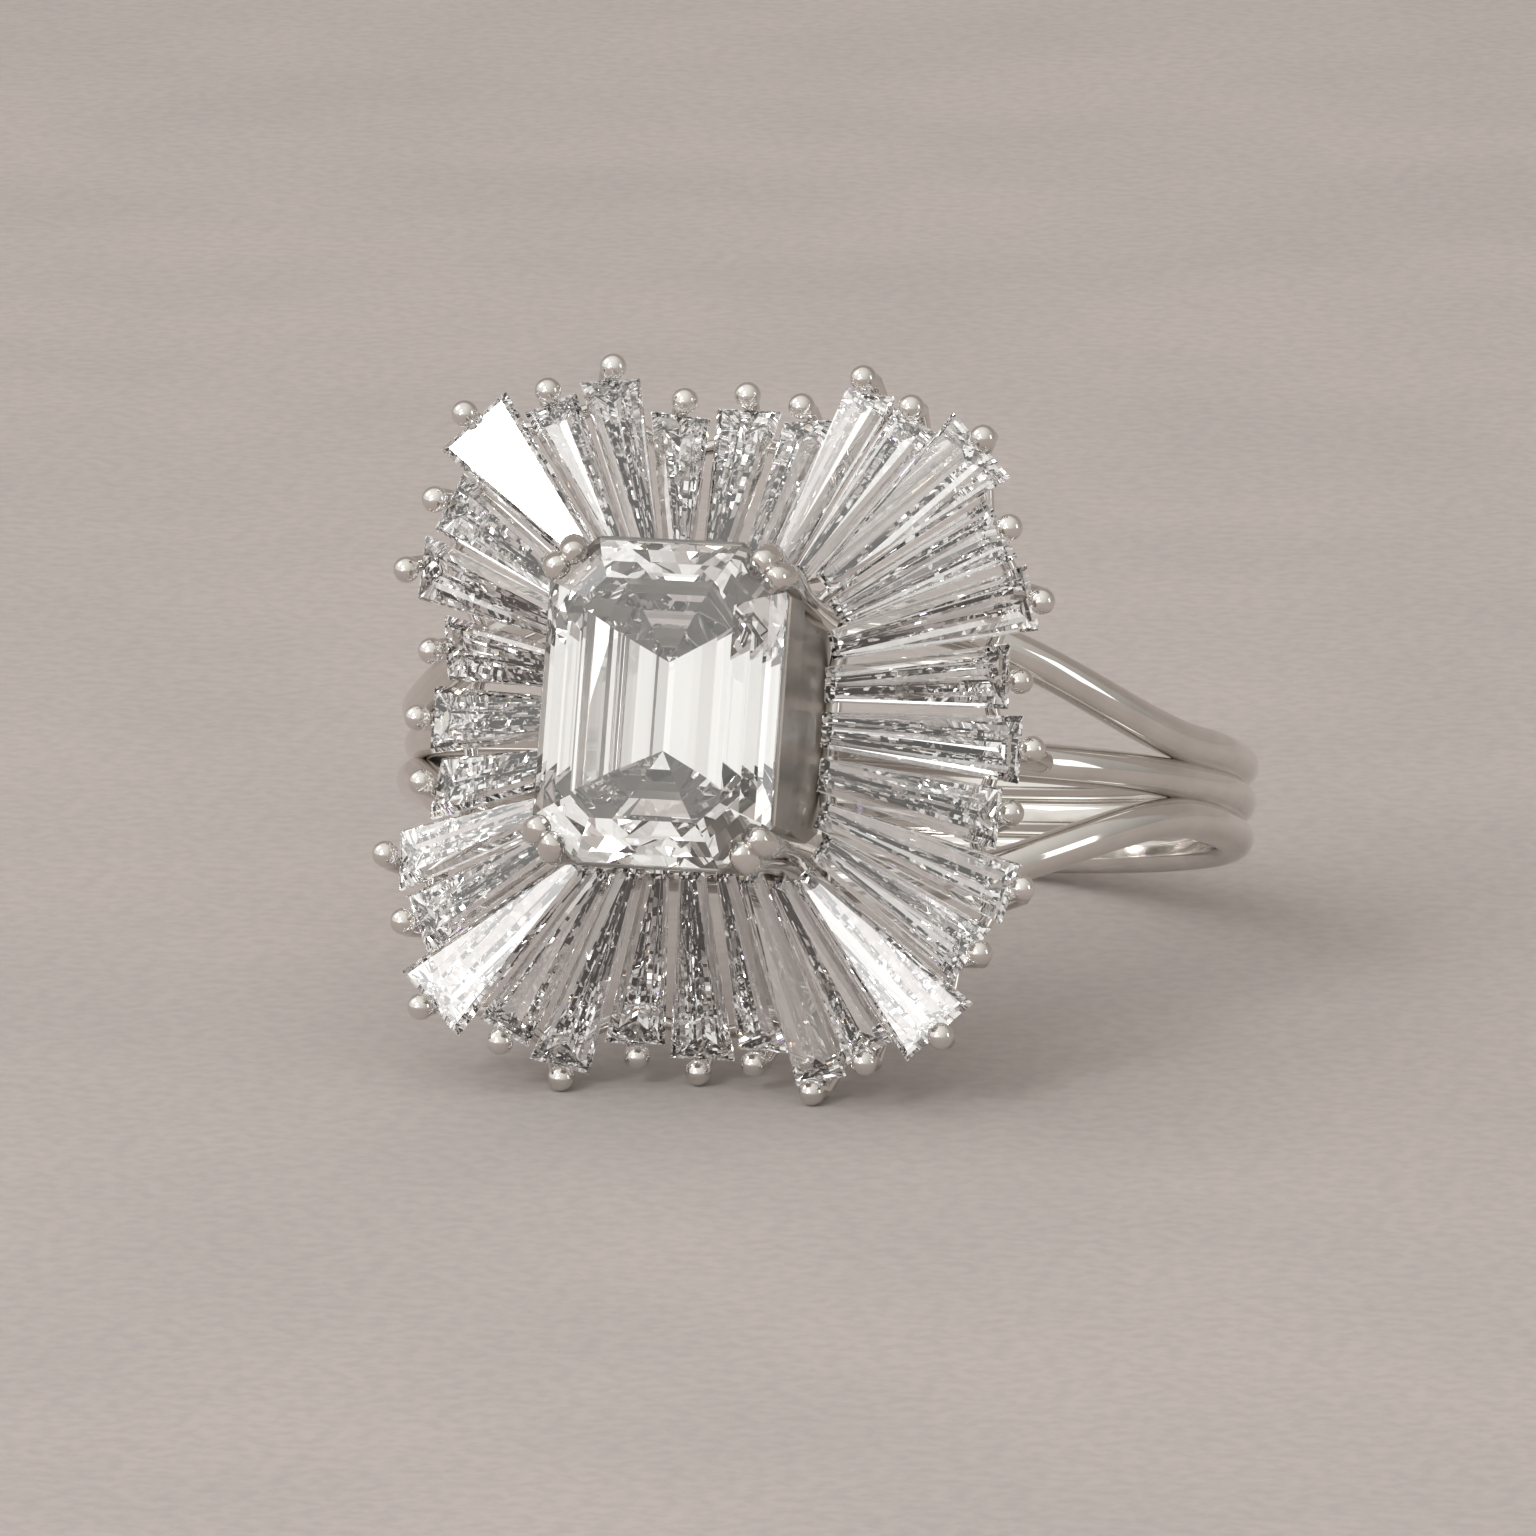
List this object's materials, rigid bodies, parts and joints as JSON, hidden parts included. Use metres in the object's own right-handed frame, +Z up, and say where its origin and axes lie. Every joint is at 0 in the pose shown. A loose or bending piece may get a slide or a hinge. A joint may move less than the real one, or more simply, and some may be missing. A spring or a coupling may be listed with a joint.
{
  "type": "ballerina ring",
  "caption": "Ring lying on its side: an emerald-cut centre stone in a high claw basket, ringed by a flared, waved skirt of tapered baguettes, on a shank of three round wires.",
  "frame": {"origin": "centre of the ring's outline on the surface that it rests on", "axes": "+Z up from that surface; +Y from the stones' face to the back of the shank; +X to the right as the face is looked at"},
  "size_m": [0.019, 0.0267, 0.0151],
  "materials": {
    "polished_metal": "polished white gold",
    "centre_diamond": "clear, step cut and polished",
    "baguette_diamond": "clear, cut and polished"
  },
  "bodies": {
    "root": {"ring_frame": "polished_metal", "centre_stone": "centre_diamond", "baguette_01": "baguette_diamond", "baguette_02": "baguette_diamond", "baguette_03": "baguette_diamond", "baguette_04": "baguette_diamond", "baguette_05": "baguette_diamond", "baguette_06": "baguette_diamond", "baguette_07": "baguette_diamond", "baguette_08": "baguette_diamond", "baguette_09": "baguette_diamond", "baguette_10": "baguette_diamond", "baguette_11": "baguette_diamond", "baguette_12": "baguette_diamond", "baguette_13": "baguette_diamond", "baguette_14": "baguette_diamond", "baguette_15": "baguette_diamond", "baguette_16": "baguette_diamond", "baguette_17": "baguette_diamond", "baguette_18": "baguette_diamond", "baguette_19": "baguette_diamond", "baguette_20": "baguette_diamond", "baguette_21": "baguette_diamond", "baguette_22": "baguette_diamond", "baguette_23": "baguette_diamond", "baguette_24": "baguette_diamond", "baguette_25": "baguette_diamond", "baguette_26": "baguette_diamond", "baguette_27": "baguette_diamond", "baguette_28": "baguette_diamond", "baguette_29": "baguette_diamond", "baguette_30": "baguette_diamond", "baguette_31": "baguette_diamond", "baguette_32": "baguette_diamond"}
  },
  "joints": []
}
